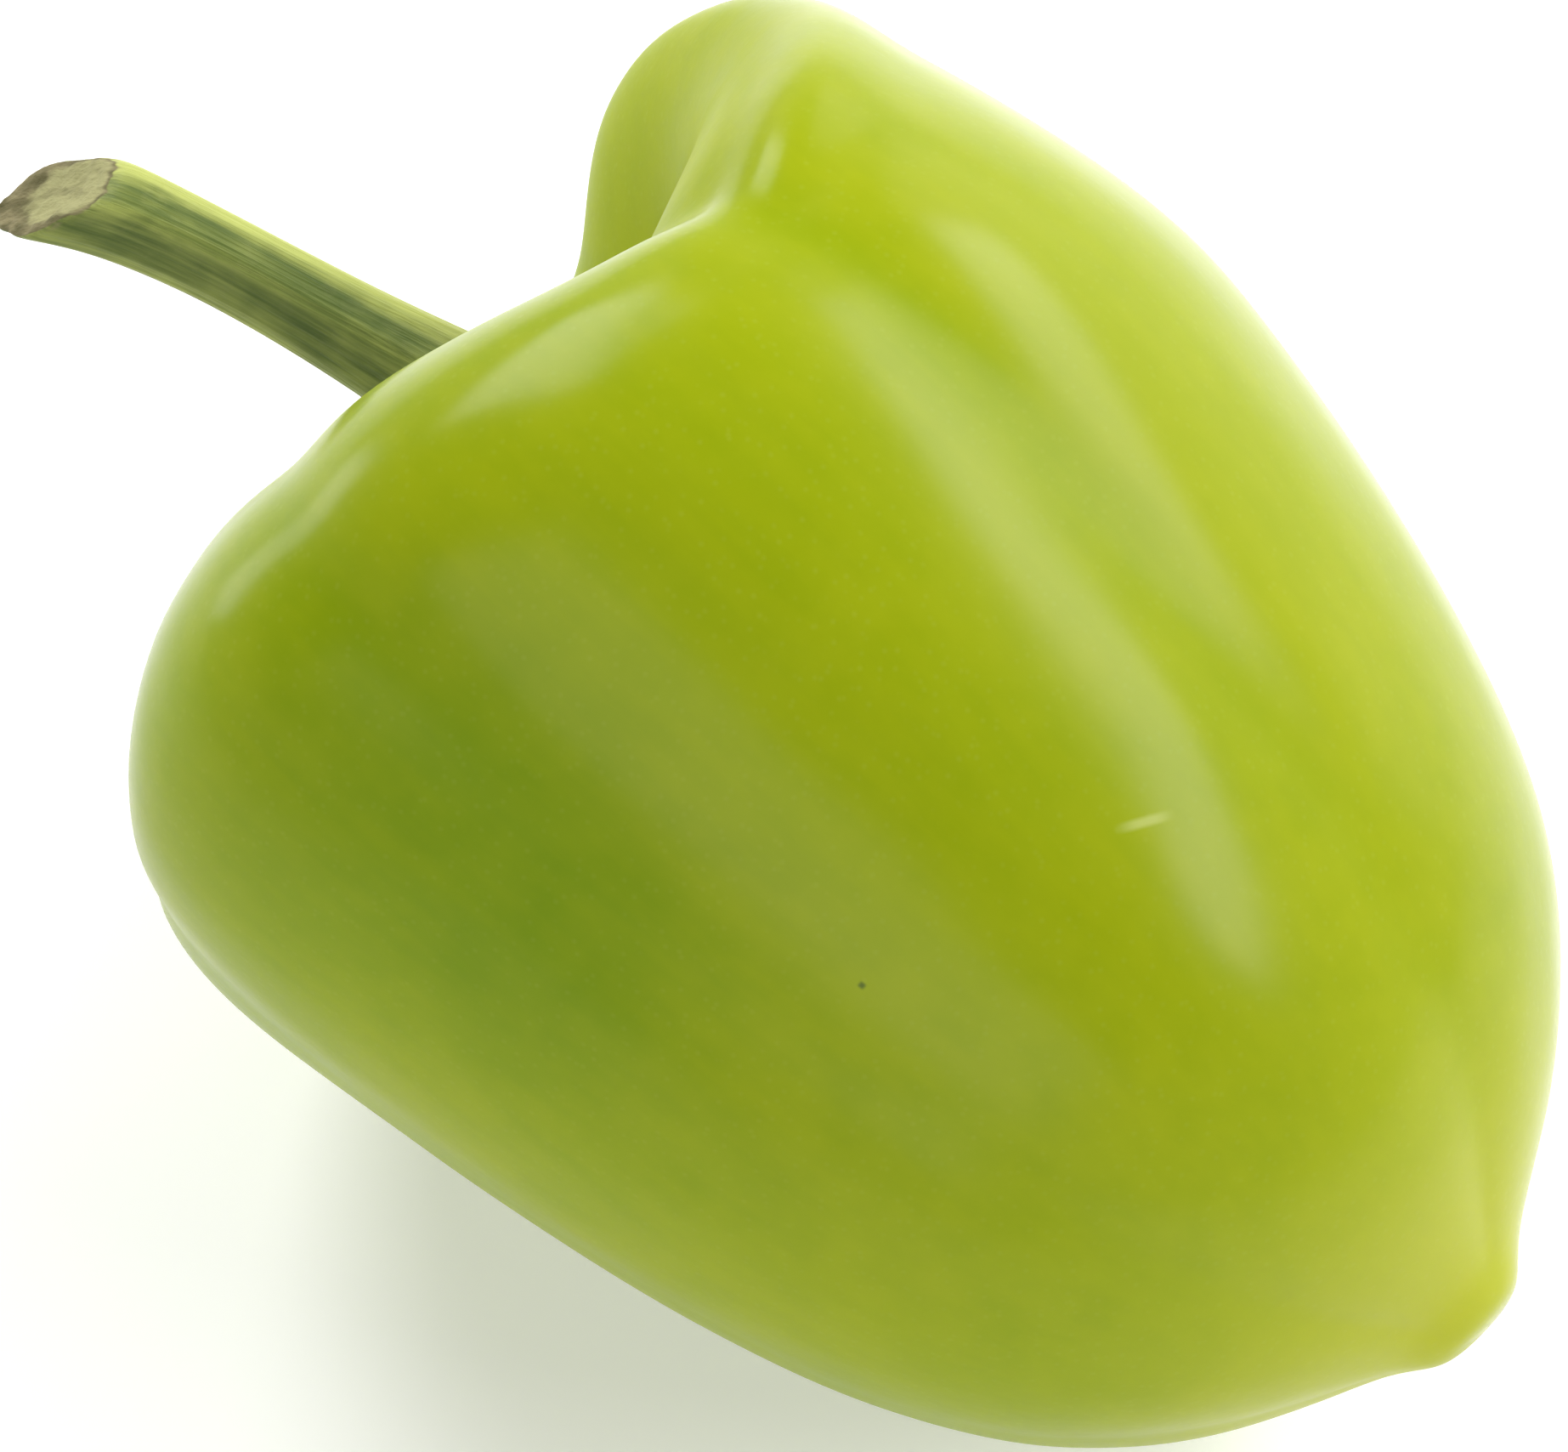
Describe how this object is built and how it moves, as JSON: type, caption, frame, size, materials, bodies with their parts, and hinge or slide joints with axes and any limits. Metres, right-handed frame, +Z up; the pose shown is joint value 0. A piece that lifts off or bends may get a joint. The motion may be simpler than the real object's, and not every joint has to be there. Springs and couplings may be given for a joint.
{
  "type": "bell pepper",
  "caption": "Light green sweet pepper lying on its side: a lobed, blocky cone with a hollowed shoulder, a small knob at the blossom end and a bent, ribbed stem on a toothed calyx.",
  "frame": {"origin": "centre of the bounding box's base, on the surface the fruit lies on", "axes": "+X runs along the fruit from the cut end of the stem towards the blossom tip, +Z is up from the surface, and +Y completes a right-handed set"},
  "size_m": [0.1286, 0.0852, 0.0847],
  "materials": {
    "skin": "smooth, waxy, light yellow-green vegetable skin",
    "stem": "satin green fibrous stem with a dry brown cut end"
  },
  "bodies": {
    "root": {"fruit": "skin", "calyx_and_stem": "stem"}
  },
  "joints": []
}
